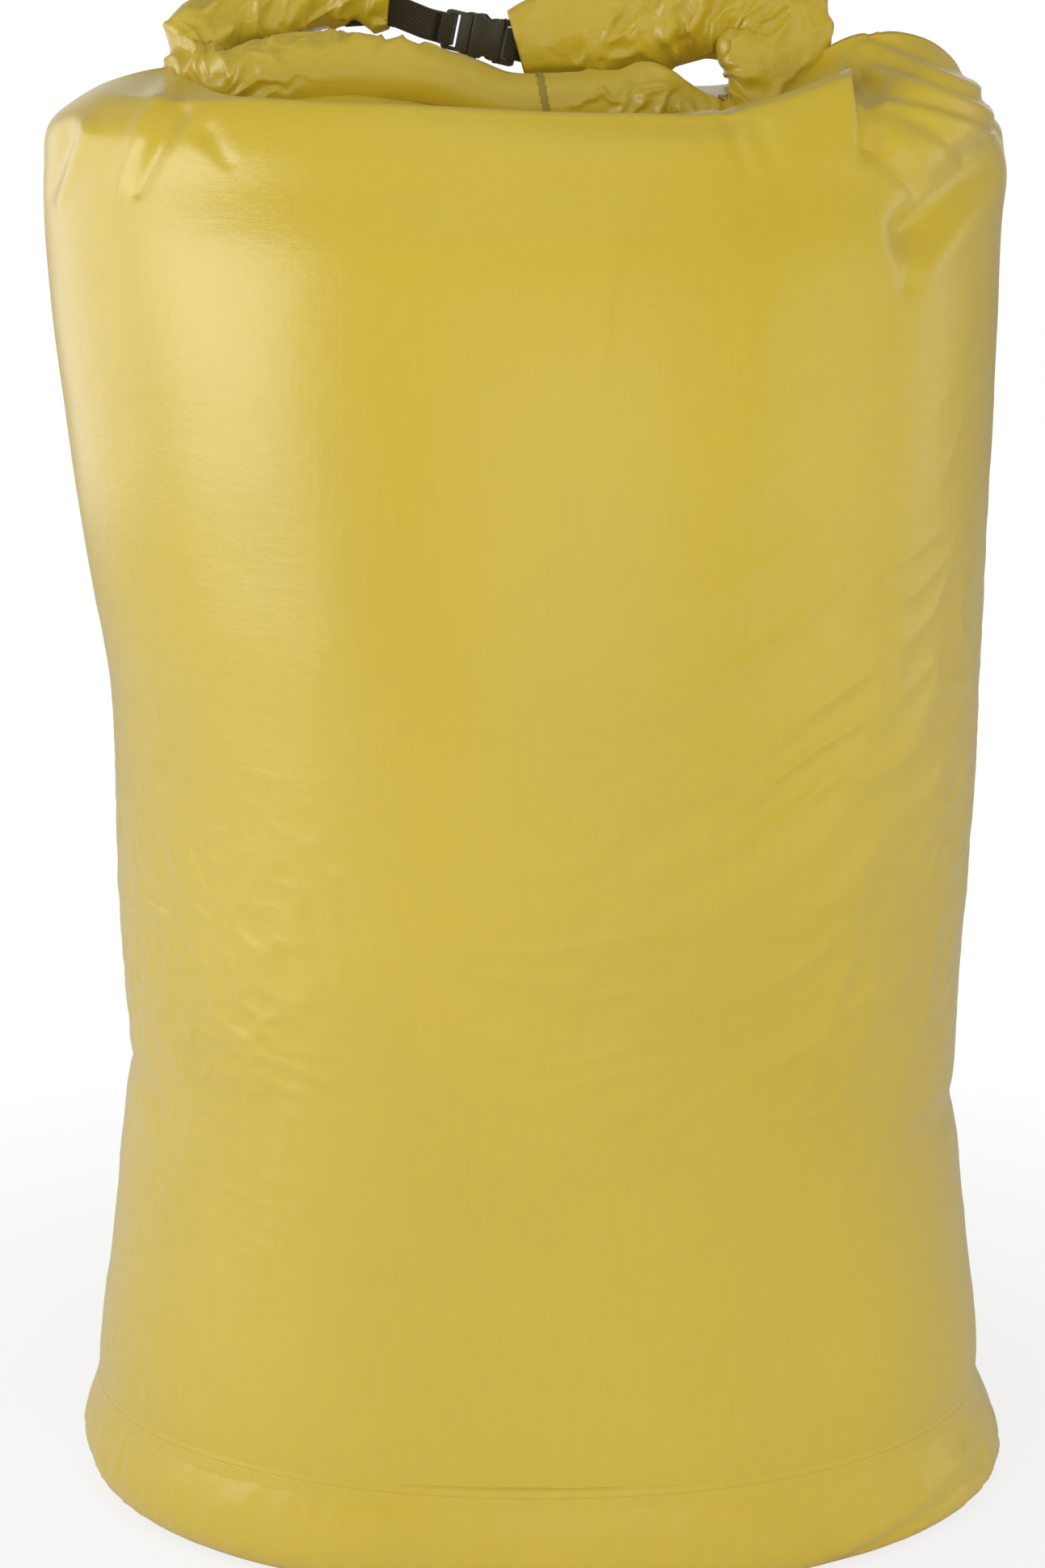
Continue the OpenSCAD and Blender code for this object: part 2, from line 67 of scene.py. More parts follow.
def bump(distance, width):
    """A rounded rise: 1 at distance 0, and close to 0 beyond width."""
    return np.exp(-(distance / width) ** 2)


def through(table, stations, x):
    """Smooth values at x of each column of a table whose rows stand at the stations."""
    stations = np.asarray(stations, float)
    table = np.asarray(table, float)
    slopes = np.gradient(table, stations, axis=0)
    i = np.clip(np.searchsorted(stations, x) - 1, 0, len(stations) - 2)
    h = (stations[i + 1] - stations[i])[:, None]
    t = ((x - stations[i]) / h[:, 0])[:, None]
    a, b, ma, mb = table[i], table[i + 1], slopes[i] * h, slopes[i + 1] * h
    return ((2 * t**3 - 3 * t**2 + 1) * a + (t**3 - 2 * t**2 + t) * ma
            + (-2 * t**3 + 3 * t**2) * b + (t**3 - t**2) * mb)


def along(table, count, columns=3):
    """count rows spaced evenly along a smooth line through a table's rows."""
    table = np.asarray(table, float)
    steps = np.linalg.norm(np.diff(table[:, :columns], axis=0), axis=1)
    reach = np.concatenate([[0], np.cumsum(steps)])
    return through(table, reach, np.linspace(0, reach[-1], count))


def lattice(ix, iy, iz, seed):
    h = (ix * 374761393 + iy * 668265263 + iz * 1442695041 + seed * 974634777) & 0xFFFFFFFF
    h = ((h ^ (h >> 13)) * 1274126177) & 0xFFFFFFFF
    return ((h ^ (h >> 16)) & 0xFFFF) / 32767.5 - 1.0


def noise(p, seed=0):
    """Smooth noise from -1 to 1 at points p, with features about one unit across."""
    cell = np.floor(p).astype(np.int64)
    f = p - cell
    f = f * f * (3 - 2 * f)
    total = 0.0
    for dx in (0, 1):
        for dy in (0, 1):
            for dz in (0, 1):
                weight = ((f[..., 0] if dx else 1 - f[..., 0]) * (f[..., 1] if dy else 1 - f[..., 1])
                          * (f[..., 2] if dz else 1 - f[..., 2]))
                corner = lattice(cell[..., 0] + dx, cell[..., 1] + dy, cell[..., 2] + dz, seed)
                total = total + weight * corner
    return total


def ridges(p, seed=0):
    """Sharp crests between rounded hollows, from 0 to 1."""
    return (1 - np.abs(noise(p, seed))) ** 3


def stretched(p, direction, length, width):
    """Points scaled so that noise on them makes streaks along a direction."""
    d = np.asarray(direction, float)
    d = d / np.linalg.norm(d)
    s = p @ d
    across = p - s[..., None] * d
    return across / width + d * (s / length)[..., None]


# ---------------------------------------------------------------- meshes

def new_mesh(name, verts, faces, smooth_shading=True):
    mesh = bpy.data.meshes.new(name)
    mesh.from_pydata([tuple(v) for v in np.asarray(verts, float)], [], faces)
    mesh.validate()
    if smooth_shading:
        mesh.polygons.foreach_set("use_smooth", [True] * len(mesh.polygons))
    obj = bpy.data.objects.new(name, mesh)
    bpy.context.scene.collection.objects.link(obj)
    return obj


def grid_faces(rows, cols, wrap, start=0, flip=False):
    faces = []
    last = cols if wrap else cols - 1
    for r in range(rows - 1):
        for c in range(last):
            n = (c + 1) % cols
            quad = (start + r * cols + c, start + r * cols + n,
                    start + (r + 1) * cols + n, start + (r + 1) * cols + c)
            faces.append(quad[::-1] if flip else quad)
    return faces


def normals_of(grid, wrap):
    """Unit normals of a grid of points, by rows and columns."""
    down = np.gradient(grid, axis=0)
    if wrap:
        over = (np.roll(grid, -1, 1) - np.roll(grid, 1, 1)) / 2
    else:
        over = np.gradient(grid, axis=1)
    n = np.cross(over, down)
    return n / np.maximum(np.linalg.norm(n, axis=2, keepdims=True), 1e-12)


def shell(name, grid, thickness, wrap=True):
    """A closed sheet of even thickness whose outside is the grid."""
    rows, cols, _ = grid.shape
    inner = grid - normals_of(grid, wrap) * thickness
    n = rows * cols
    verts = np.concatenate([grid.reshape(-1, 3), inner.reshape(-1, 3)])
    faces = grid_faces(rows, cols, wrap) + grid_faces(rows, cols, wrap, n, True)
    for r, flip in ((0, True), (rows - 1, False)):
        for c in range(cols if wrap else cols - 1):
            k = (c + 1) % cols
            quad = (r * cols + c, r * cols + k, n + r * cols + k, n + r * cols + c)
            faces.append(quad if flip else quad[::-1])
    if not wrap:
        for c, flip in ((0, False), (cols - 1, True)):
            for r in range(rows - 1):
                quad = (r * cols + c, (r + 1) * cols + c, n + (r + 1) * cols + c, n + r * cols + c)
                faces.append(quad if flip else quad[::-1])
    return new_mesh(name, verts, faces)


# ---------------------------------------------------------------- materials

def srgb(*rgb):
    return tuple(((c / 12.92) if c <= 0.04045 else ((c + 0.055) / 1.055) ** 2.4) for c in rgb) + (1.0,)


class Nodes:
    """A short way to add linked shader nodes."""

    def __init__(self, name):
        self.material = bpy.data.materials.new(name)
        self.material.use_nodes = True
        self.tree = self.material.node_tree
        self.shader = self.tree.nodes["Principled BSDF"]

    def add(self, kind, inputs=(), **settings):
        node = self.tree.nodes.new(kind)
        for key, value in settings.items():
            setattr(node, key, value)
        for key, value in dict(inputs).items():
            if isinstance(value, bpy.types.NodeSocket):
                self.tree.links.new(value, node.inputs[key])
            else:
                node.inputs[key].default_value = value
        return node

    def link(self, output, key):
        self.tree.links.new(output, self.shader.inputs[key])

    def where(self):
        return self.add("ShaderNodeTexCoord").outputs["Object"]

    def mix(self, factor, a, b):
        node = self.add("ShaderNodeMix", data_type="RGBA")
        for index, value in ((0, factor), (6, a), (7, b)):
            if isinstance(value, bpy.types.NodeSocket):
                self.tree.links.new(value, node.inputs[index])
            else:
                node.inputs[index].default_value = value
        return node.outputs[2]

    def math(self, operation, a, b=0.0):
        return self.add("ShaderNodeMath", {0: a, 1: b}, operation=operation).outputs[0]

    def scaled(self, place, scale):
        return self.add("ShaderNodeMapping", {"Vector": place, "Scale": scale}).outputs[0]

    def noise(self, place, scale, detail=2.0, rough=0.5):
        return self.add("ShaderNodeTexNoise", {"Vector": place, "Scale": scale, "Detail": detail,
                                               "Roughness": rough}).outputs["Fac"]

    def waves(self, place, axis, scale, twist=0.0):
        return self.add("ShaderNodeTexWave", {"Vector": place, "Scale": scale, "Distortion": twist},
                        bands_direction=axis, wave_profile="SIN").outputs["Fac"]

    def bump(self, height, strength, distance, before=None):
        inputs = {"Height": height, "Strength": strength, "Distance": distance}
        if before is not None:
            inputs["Normal"] = before
        return self.add("ShaderNodeBump", inputs).outputs[0]


def coated_fabric(name="coated_fabric", tone=1.0, wrinkle=1.0):
    """Urethane-coated ripstop nylon: plain weave, a faint ripstop grid and soft creases under a gloss. A
    tone below 1 darkens the colour as painted shade.
    """
    n = Nodes(name)
    place = n.where()
    deep = srgb(0.80 * tone, 0.685 * tone, 0.10 * tone)
    light = srgb(0.86 * tone, 0.745 * tone, 0.16 * tone)
    cloud = n.noise(place, 7.0, 3.0)
    colour = n.mix(cloud, deep, light)
    fleck = n.noise(n.scaled(place, (700.0, 700.0, 60.0)), 1.0, 1.0)
    colour = n.mix(n.math("MULTIPLY", fleck, 0.16), colour, srgb(0.66 * tone, 0.57 * tone, 0.16 * tone))
    n.link(colour, "Base Color")
    rough = n.add("ShaderNodeMapRange", {"Value": n.noise(place, 26.0, 3.0), "To Min": 0.31, "To Max": 0.40})
    n.link(rough.outputs[0], "Roughness")
    n.shader.inputs["Specular IOR Level"].default_value = 0.9
    n.shader.inputs["Coat Weight"].default_value = 0.5
    n.shader.inputs["Coat Roughness"].default_value = 0.3
    n.shader.inputs["Coat IOR"].default_value = 1.6
    n.shader.inputs["Sheen Weight"].default_value = 0.08
    n.shader.inputs["Sheen Roughness"].default_value = 0.5
    weave = n.math("MULTIPLY", n.waves(place, "X", 260.0), n.waves(place, "Z", 260.0))
    grid = n.math("MAXIMUM", n.math("POWER", n.waves(place, "X", 32.0), 14.0),
                  n.math("POWER", n.waves(place, "Z", 32.0), 14.0))
    creases = n.noise(n.scaled(place, (1.0, 1.0, 1.6)), 90.0, 4.0, 0.6)
    normal = n.bump(creases, 0.16 * wrinkle, 0.002)
    normal = n.bump(grid, 0.05, 0.0003, normal)
    normal = n.bump(weave, 0.07, 0.0002, normal)
    n.link(normal, "Normal")
    return n.material


def seam_fabric(name="seam_fabric", tone=1.0):
    """The same fabric folded over."""
    n = Nodes(name)
    place = n.where()
    colour = n.mix(n.noise(place, 60.0, 3.0), srgb(0.70 * tone, 0.62 * tone, 0.20 * tone),
                   srgb(0.80 * tone, 0.71 * tone, 0.27 * tone))
    n.link(colour, "Base Color")
    patches = {"Value": n.noise(place, 80.0), "To Min": 0.42, "To Max": 0.55}
    n.link(n.add("ShaderNodeMapRange", patches).outputs[0],
           "Roughness")
    n.link(n.bump(n.noise(place, 400.0, 3.0), 0.3, 0.0006), "Normal")
    return n.material


def tape():
    n = Nodes("seam_tape")
    place = n.where()
    n.link(n.mix(n.noise(place, 120.0, 3.0), srgb(0.80, 0.76, 0.50), srgb(0.70, 0.65, 0.38)), "Base Color")
    n.shader.inputs["Roughness"].default_value = 0.4
    n.link(n.bump(n.noise(place, 500.0, 2.0), 0.2, 0.0004), "Normal")
    return n.material


def thread(name, dark, pale):
    n = Nodes(name)
    place = n.where()
    n.link(n.mix(n.waves(place, "DIAGONAL", 420.0), dark, pale), "Base Color")
    n.shader.inputs["Roughness"].default_value = 0.7
    n.link(n.bump(n.waves(place, "DIAGONAL", 420.0), 0.5, 0.0004), "Normal")
    return n.material


def webbing_material():
    """Flat-woven nylon webbing: fine ribs across and a twill along."""
    n = Nodes("webbing")
    place = n.where()
    ribs = n.waves(place, "DIAGONAL", 340.0)
    cross = n.waves(n.scaled(place, (1.0, 1.0, -1.0)), "DIAGONAL", 340.0)
    weave = n.math("MULTIPLY", ribs, cross)
    colour = n.mix(weave, srgb(0.19, 0.155, 0.08), srgb(0.265, 0.225, 0.125))
    fuzz = n.noise(place, 900.0, 2.0)
    n.link(n.mix(n.math("MULTIPLY", fuzz, 0.5), colour, srgb(0.19, 0.155, 0.09)), "Base Color")
    n.shader.inputs["Roughness"].default_value = 0.8
    n.shader.inputs["Sheen Weight"].default_value = 0.25
    n.link(n.bump(weave, 0.7, 0.0006), "Normal")
    return n.material


def buckle_plastic():
    """Moulded acetal with a fine spark-eroded grain."""
    n = Nodes("buckle")
    place = n.where()
    colour = n.mix(n.noise(place, 160.0, 3.0), srgb(0.20, 0.175, 0.11), srgb(0.255, 0.23, 0.15))
    n.link(colour, "Base Color")
    specks = {"Value": n.noise(place, 500.0), "To Min": 0.32, "To Max": 0.48}
    n.link(n.add("ShaderNodeMapRange", specks).outputs[0],
           "Roughness")
    n.link(n.bump(n.noise(place, 2500.0, 2.0), 0.25, 0.0002), "Normal")
    return n.material


def stiffener_plastic():
    n = Nodes("stiffener")
    place = n.where()
    n.link(n.mix(n.noise(place, 90.0), srgb(0.86, 0.85, 0.80), srgb(0.80, 0.79, 0.74)), "Base Color")
    n.shader.inputs["Roughness"].default_value = 0.45
    n.link(n.bump(n.noise(place, 900.0), 0.2, 0.0003), "Normal")
    return n.material


def dress(obj, material):
    obj.data.materials.clear()
    obj.data.materials.append(material)


FABRIC = coated_fabric()
# The rolled mouth wears the same fabric with deeper creases and its colour 3% darker: the darkening is
# painted shade on the roll.
ROLL_SHADED_FABRIC = coated_fabric("rolled_shaded_fabric", 0.97, 2.0)
SEAM = seam_fabric()
SEAM_SHADE = seam_fabric("seam_shade", 0.8)
TAPE = tape()
THREAD = thread("thread", srgb(0.60, 0.52, 0.16), srgb(0.78, 0.70, 0.32))
DARK_THREAD = thread("dark_thread", srgb(0.05, 0.045, 0.03), srgb(0.14, 0.12, 0.08))
WEBBING = webbing_material()
BUCKLE = buckle_plastic()
STIFFENER = stiffener_plastic()

# ---------------------------------------------------------------- camera, light and stage

FRAME_H = 1941.0                 # height of the image
CAMERA_PLACE = (0.0, -1.60, 0.66)
CAMERA_PITCH = 12.4              # degrees below level
SENSOR = 36.0
FOCAL = 4800.0                   # focal length in units of the frame's pixels
SHIFT_X, SHIFT_Y = -20.5, 27.5   # how far the optical axis misses the frame's middle, same units


def make_camera():
    data = bpy.data.cameras.new("camera")
    data.sensor_fit = "VERTICAL"
    data.sensor_height = SENSOR
    data.lens = SENSOR * FOCAL / FRAME_H
    data.shift_x = SHIFT_X / FRAME_H
    data.shift_y = -SHIFT_Y / FRAME_H
    camera = bpy.data.objects.new("camera", data)
    camera.location = CAMERA_PLACE
    camera.rotation_euler = (math.radians(90.0 - CAMERA_PITCH), 0.0, 0.0)
    bpy.context.scene.collection.objects.link(camera)
    bpy.context.scene.camera = camera


def area_light(name, place, target, size, power, shiny=True):
    data = bpy.data.lights.new(name, "AREA")
    data.shape = "RECTANGLE"
    data.size, data.size_y = size
    data.energy = power
    lamp = bpy.data.objects.new(name, data)
    lamp.visible_glossy = shiny
    lamp.location = place
    lamp.rotation_euler = (Vector(target) - Vector(place)).to_track_quat("-Z", "Y").to_euler()
    bpy.context.scene.collection.objects.link(lamp)


def make_lights():
    middle = (0.0, 0.0, 0.3)
    area_light("left_front_box", (-1.15, -0.50, 0.61), (-0.1, 0.0, 0.44), (0.85, 0.9), 5.6)
    area_light("left_back_box", (-1.20, 0.60, 0.58), (-0.1, 0.0, 0.46), (1.3, 0.9), 4.2)
    area_light("front_fill", (0.3, -2.8, 0.6), middle, (2.4, 1.4), 27.0, shiny=False)
    area_light("top_fill", (0.0, -1.1, 1.9), (0.0, 0.0, 0.6), (1.6, 1.0), 8.0, shiny=False)
    area_light("right_fill", (2.4, -0.9, 0.5), middle, (1.2, 1.1), 13.0, shiny=False)
    area_light("right_box", (2.2, 0.5, 0.5), middle, (0.6, 1.1), 1.8)
    area_light("back_fill", (0.0, 2.6, 0.9), middle, (2.4, 1.2), 6.0)
    world = bpy.data.worlds.new("world")
    world.use_nodes = True
    bpy.context.scene.world = world
    tree = world.node_tree
    seen = tree.nodes.new("ShaderNodeBackground")
    seen.inputs["Color"].default_value = (1.0, 1.0, 1.0, 1.0)
    around = tree.nodes["Background"]
    around.inputs["Color"].default_value = (1.0, 1.0, 1.0, 1.0)
    around.inputs["Strength"].default_value = 0.25
    path = tree.nodes.new("ShaderNodeLightPath")
    mix = tree.nodes.new("ShaderNodeMixShader")
    tree.links.new(path.outputs["Is Camera Ray"], mix.inputs[0])
    tree.links.new(around.outputs[0], mix.inputs[1])
    tree.links.new(seen.outputs[0], mix.inputs[2])
    tree.links.new(mix.outputs[0], tree.nodes["World Output"].inputs["Surface"])


def make_floor():
    """A white floor that catches the sack's shadow and is otherwise white to the camera."""
    n = Nodes("floor")
    n.shader.inputs["Base Color"].default_value = srgb(0.93, 0.93, 0.92)
    n.shader.inputs["Roughness"].default_value = 0.9
    tree = n.tree
    white = n.add("ShaderNodeEmission", {"Color": (1.0, 1.0, 1.0, 1.0), "Strength": 1.0})
    path = n.add("ShaderNodeLightPath")
    reach = n.add("ShaderNodeVectorMath", {0: n.where()}, operation="LENGTH").outputs["Value"]
    fade = {"Value": reach, "From Min": 0.25, "From Max": 0.6, "To Min": 0.8, "To Max": 1.0}
    far = n.add("ShaderNodeMapRange", fade)
    share = n.math("MULTIPLY", path.outputs["Is Camera Ray"], far.outputs[0])
    mix = n.add("ShaderNodeMixShader")
    tree.links.new(share, mix.inputs[0])
    tree.links.new(n.shader.outputs[0], mix.inputs[1])
    tree.links.new(white.outputs[0], mix.inputs[2])
    tree.links.new(mix.outputs[0], tree.nodes["Material Output"].inputs["Surface"])
    half = 6.0
    verts = [(-half, -half, 0), (half, -half, 0), (half, half, 0), (-half, half, 0)]
    floor = new_mesh("floor", verts, [(0, 1, 2, 3)], False)
    floor.data.materials.append(n.material)


bpy.context.scene.view_settings.view_transform = "Standard"
make_camera()
make_lights()
make_floor()

# ---------------------------------------------------------------- the sack's fabric

AROUND = 480                     # points round the sack
FABRIC_T = 0.6 * MM

# height, left half width, right half width, half depth
WALL = [
    [40, 191.0, 189.0, 159.0],
    [55, 190.0, 189.5, 158.5],
    [75, 187.5, 188.0, 158.0],
    [108, 183.0, 184.0, 157.5],
    [140, 179.3, 180.3, 157.5],
    [165, 176.3, 177.4, 158.0],
    [184, 174.3, 177.6, 158.5],
    [217, 175.2, 178.4, 160.0],
    [253, 177.0, 180.0, 162.0],
    [323, 178.2, 182.6, 166.0],
    [345, 179.2, 183.0, 167.0],
    [392, 186.0, 184.6, 168.0],
    [460, 195.0, 187.0, 166.5],
    [505, 200.0, 188.5, 162.5],
    [535, 201.8, 189.2, 156.0],
    [557, 201.3, 189.6, 146.5]]
# from the top corners to the line where the mouth goes under the roll:
# left ridge z, x; right ridge z, x; front z, y; back z, y
TOP = [
    [576, 197.5, 576, 189.0, 574.0, 139.0, 569.0, 124.0],
    [585, 186.0, 588, 178.5, 584.0, 133.0, 577.0, 108.0],
    [589.5, 178.0, 596, 171.0, 587.6, 129.5, 580.5, 98.0],
    [592, 172.0, 603, 164.0, 587.4, 124.5, 582.5, 88.0],
    [597, 153.0, 611, 148.0, 585.3, 106.0, 584.0, 62.0],
    [596, 137.0, 611, 126.0, 582.0, 82.0, 582.5, 32.0],
    [586, 127.0, 600, 104.0, 576.5, 57.0, 578.0, 2.0],
    [577, 118.0, 584, 78.0, 571.5, 35.0, 573.0, -29.0]]


def sack_rows():
    """Rows of left z, left x, right z, right x, front z, front depth, back z, back depth, evenly spaced."""
    rows = [[z, left, z, right, z, depth, z, depth] for z, left, right, depth in WALL] + TOP
    rows = np.asarray(rows, float)
    steps = np.linalg.norm(np.diff(rows, axis=0), axis=1) / 2
    reach = np.concatenate([[0], np.cumsum(steps)])
    count = int(reach[-1] / 1.8)
    return through(rows, reach, np.linspace(0, reach[-1], count))


# rise of the front crest over the table's height, by x; it stops in an upright edge at the last x
CREST_X = [-150, -110, -60, 0, 55, 74, 95, 112, 121]
CREST_RISE = [0.0, 2.2, 1.2, -1.6, -3.6, -2.5, 2.5, 7.5, 10.0]
CREST_EDGE = CREST_X[-1]
CREST_DEPTH = 129.5              # how far to the front the crest stands

# how much higher than the closing line of the table the roll's underside stands, by x
ROLL_X = [-128, -112, -92, -72, -52, -32, -14, 4]
ROLL_RISE = [10.0, 11.5, 13.5, 14.5, 12.5, 9.0, 3.0, 0.0]


def crest_rise(x):
    return np.interp(x, CREST_X, CREST_RISE) * (1 - smooth((x - CREST_EDGE) / 4.0))


def sack_grid():
    rows = sack_rows()
    angle = np.arange(AROUND) * 2 * math.pi / AROUND
    c, s = np.cos(angle)[None, :], np.sin(angle)[None, :]
    lz, lx, rz, rx, fz, fy, bz, by = [rows[:, i][:, None] for i in range(8)]
    square = 1 - 0.06 * (1 - smooth((fz - 40) / 120))
    x = np.where(c > 0, rx, lx) * np.sign(c) * np.abs(c) ** square
    middle, half = (by - fy) / 2, (by + fy) / 2
    y = middle + half * np.sign(s) * np.abs(s) ** square
    share = np.abs(s) ** 0.7
    side_z = np.where(c > 0, rz, lz)
    face_z = np.where(s < 0, fz, bz)
    z = side_z + (face_z - side_z) * share
    crest = np.where(fy > CREST_DEPTH, smooth((fz - 572) / 15.0), bump(fy - CREST_DEPTH, 40.0))
    crest = crest * (fz > 560) * (s < 0) * smooth(-s / 0.35)
    z = z + crest_rise(x) * crest
    near_roll = smooth((np.arange(len(rows)) - (len(rows) - 22)) / 18.0)[:, None]
    z = z + np.interp(x, ROLL_X, ROLL_RISE) * near_roll
    return np.stack([x, y, z], axis=2)


def segment_distance(p, a, b):
    """Distance of points from a segment and their share of the way along it, seen from the front."""
    a, b = np.asarray(a, float), np.asarray(b, float)
    q = p[..., [0, 2]]
    d = b - a
    t = np.clip(((q - a) @ d) / (d @ d), 0, 1)
    return np.linalg.norm(q - (a + t[..., None] * d), axis=-1), t


def crease(p, a, b, width, depth, fade=0.0):
    """A rounded groove, with depth below 0, or ridge along a segment seen from the front.

    fade thins it towards its far end.
    """
    distance, t = segment_distance(p, a, b)
    return depth * bump(distance, width * (1 - fade * t)) * (1 - fade * t)


def wrinkles(p):
    """Height of the fabric's wrinkles over the smooth shape, in mm."""
    x, y, z = p[..., 0], p[..., 1], p[..., 2]
    front = smooth((20 - y) / 60)
    total = 0.9 * noise(p / 85.0, 3) + 0.35 * noise(p / 38.0, 4)
    bent = p + 7.0 * np.stack([noise(p / 40.0, 61), noise(p / 40.0, 62), noise(p / 40.0, 63)], axis=-1)
    falling = ridges(stretched(bent, (1.0, 0.3, -0.42), 62.0, 9.5), 11)
    rising = ridges(stretched(bent, (1.0, 0.3, 0.55), 80.0, 14.0), 12)
    level = ridges(stretched(bent, (1.0, 0.0, 0.08), 60.0, 10.0), 13)
    left_zone = bump(x + 135, 75) * bump(z - 235, 95)
    right_zone = bump(x - 120, 75) * bump(z - 300, 130)
    low_zone = bump(x, 110) * bump(z - 250, 70)
    zones = 1.15 * falling * left_zone + 1.8 * rising * right_zone + 0.7 * level * low_zone
    total = total + front * zones
    hang = ridges(stretched(p, (0.12, 0.0, 1.0), 110.0, 17.0), 14)
    total = total + 0.9 * front * hang * bump(x - 45, 75) * bump(z - 512, 38)
    back = 1 - front
    slack = ridges(stretched(p, (0.7, 0.7, 0.5), 90.0, 18.0), 15)
    total = total + back * 0.7 * slack * smooth((520 - z) / 100)
    low = bump(z - 62, 26)
    gather = ridges(stretched(p, (0.0, 0.0, 1.0), 60.0, 9.0), 16)
    total = total + 0.4 * low * gather
    return total


# x, z where a fold starts and ends, half width, height along the normal, how much it fades
FOLDS = [
    ((-139, 585), (-155, 553), 4.5, -3.2, 0.6),
    ((-147, 588), (-163, 556), 6.0, 2.0, 0.5),
    ((-186, 572), (-196, 548), 5.0, -2.0, 0.5),
    ((-178, 575), (-190, 545), 5.0, 1.6, 0.5),
    ((-126, 577), (-118, 566), 4.0, -1.5, 0.5),
    ((126, 598), (128, 572), 4.5, -5.0, 0.1),
    ((128, 572), (146, 556), 6.0, -3.0, 0.4),
    ((71, 583), (79, 560), 3.0, -2.0, 0.6),
    ((188, 573), (146, 540), 11.0, -6.0, 0.15),
    ((186, 560), (150, 528), 12.0, 2.5, 0.3),
    ((146, 540), (142, 520), 9.0, -3.5, 0.5),
    ((131, 594), (186, 576), 2.6, -2.8, 0.1),
    ((131, 599), (184, 580), 2.4, 1.8, 0.1),
    ((131, 603), (180, 585), 2.2, -2.2, 0.1),
    ((131, 607), (177, 589), 2.2, 1.6, 0.1),
    ((133, 611), (172, 595), 2.2, -1.8, 0.1),
    ((134, 588), (186, 573), 2.6, 2.0, 0.2),
    ((132, 590), (170, 566), 4.0, -2.2, 0.3),
    ((84, 578), (93, 552), 4.0, -1.2, 0.7)]


def creases(p):
    """The larger folds, in mm along the normal."""
    total = 0.0
    for start, end, width, depth, fade in FOLDS:
        total = total + crease(p, start, end, width, depth, fade)
    return total * smooth((10 - p[..., 1]) / 25)


def side_tucks(p):
    """Pinches where the waist is squeezed at the sides, in mm."""
    x, z = p[..., 0], p[..., 2]
    left = bump(z - 183, 7) * smooth((-x - 140) / 30)
    right = bump(z - 168, 8) * smooth((x - 140) / 30)
    return -1.6 * left - 1.8 * right


def make_sack():
    grid = sack_grid()
    n = normals_of(grid, True)
    lift = (wrinkles(grid) + creases(grid) + side_tucks(grid))[..., None]
    edge = smooth((np.arange(grid.shape[0]) / 10.0))[:, None, None]
    grid = grid + n * lift * edge
    sack = shell("sack_fabric", mm(grid), FABRIC_T)
    dress(sack, FABRIC)
    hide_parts("body_panel", "top_panel")
    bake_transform(sack)
    return grid


# ---------------------------------------------------------------- seams, tapes and stitching

def across(grid, reach, step):
    """Values of a grid's rows at distances in mm either side of the back's centre line."""
    spots = AROUND // 4 - np.asarray(reach) / step
    low = np.floor(spots).astype(int)
    t = (spots - low)[None, :, None]
    return grid[:, low] * (1 - t) + grid[:, low + 1] * t


def back_strip(name, grid, reach, lift, thickness, material, node):
    """A strip up the back, lifted off the grid's outside."""
    step = np.linalg.norm(grid[0, AROUND // 4 + 1] - grid[0, AROUND // 4])
    n = across(normals_of(grid, True), reach, step)
    rows = across(grid, reach, step)
    height = lift + thickness
    rounded = np.full(len(reach), height)
    if len(reach) > 3:
        rounded[[0, -1]] = lift + 0.35 * thickness
    strip = shell(name, mm(rows + n * rounded[None, :, None]), thickness * 0.9 * MM, wrap=False)
    dress(strip, material)
    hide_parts(node)
    return strip


def ring_at(z, off):
    """The sack's outline at a height, pushed out."""
    wall = [[z, left, right, depth] for z, left, right, depth in BASE[-4:-1] + WALL[1:5]]
    row = through(np.asarray(wall), [w[0] for w in wall], np.array([z]))[0]
    angle = np.arange(AROUND) * 2 * math.pi / AROUND
    c, s = np.cos(angle), np.sin(angle)
    x = (np.where(c > 0, row[2], row[1]) + off) * np.sign(c) * np.abs(c) ** 0.94
    y = (row[3] + off) * np.sign(s) * np.abs(s) ** 0.94
    return np.stack([x, y, np.full(AROUND, z)], axis=1)


def base_band(name, profile, thickness, material, node):
    """A band round the base seam; profile rows give height and distance out."""
    band = shell(name, mm(np.stack([ring_at(z, off) for z, off in profile])), thickness * MM)
    dress(band, material)
    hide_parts(node)
    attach(band, "sack")


# height and distance out of the base seam, whose edges fade into the wall
BASE_SEAM = [(36.0, -0.4), (38.0, 0.04), (40, 0.12), (42, 0.14), (44, 0.12), (46.0, 0.04), (48.0, -0.4)]
BACK_SEAM_FOOT, BACK_SEAM_HEAD = 47, 568
TOP_SEAM_FOOT = 569


def make_seams(grid):
    base_band("base_seam_fold", BASE_SEAM, 0.3, FABRIC, "base_seam")
    base_band("base_tape", [(z, -0.9) for z in (32, 37, 42, 47, 52)], 0.3, TAPE,
              "base_seam_tape")
    base_band("base_thread", [(43.3, 0.14), (43.6, 0.2), (43.9, 0.14)], 0.2, FABRIC,
              "base_stitching")
    height = grid[:, AROUND // 4, 2]
    below_top = np.arange(len(grid)) < np.argmax(height > BACK_SEAM_HEAD)
    wall = grid[(height > BACK_SEAM_FOOT) & below_top]
    top = grid[np.argmax(height > TOP_SEAM_FOOT):-2]
    width = np.linspace(-4.5, 4.5, 7)
    pieces = [
        back_strip("back_seam_fold", wall, width, 0.1, 0.7, SEAM, "back_seam"),
        back_strip("back_tape", wall, np.linspace(-10, 10, 5), -1.3, 0.3, TAPE,
                   "back_seam_tape"),
        back_strip("back_thread", wall, [2.7, 2.95, 3.2], 0.75, 0.3, THREAD, "back_stitching")]
    for piece in pieces:
        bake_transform(piece)
    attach(back_strip("top_seam_fold", top, width, 0.1, 0.7, SEAM, "top_seam"), "top")


# ---------------------------------------------------------------- base panel

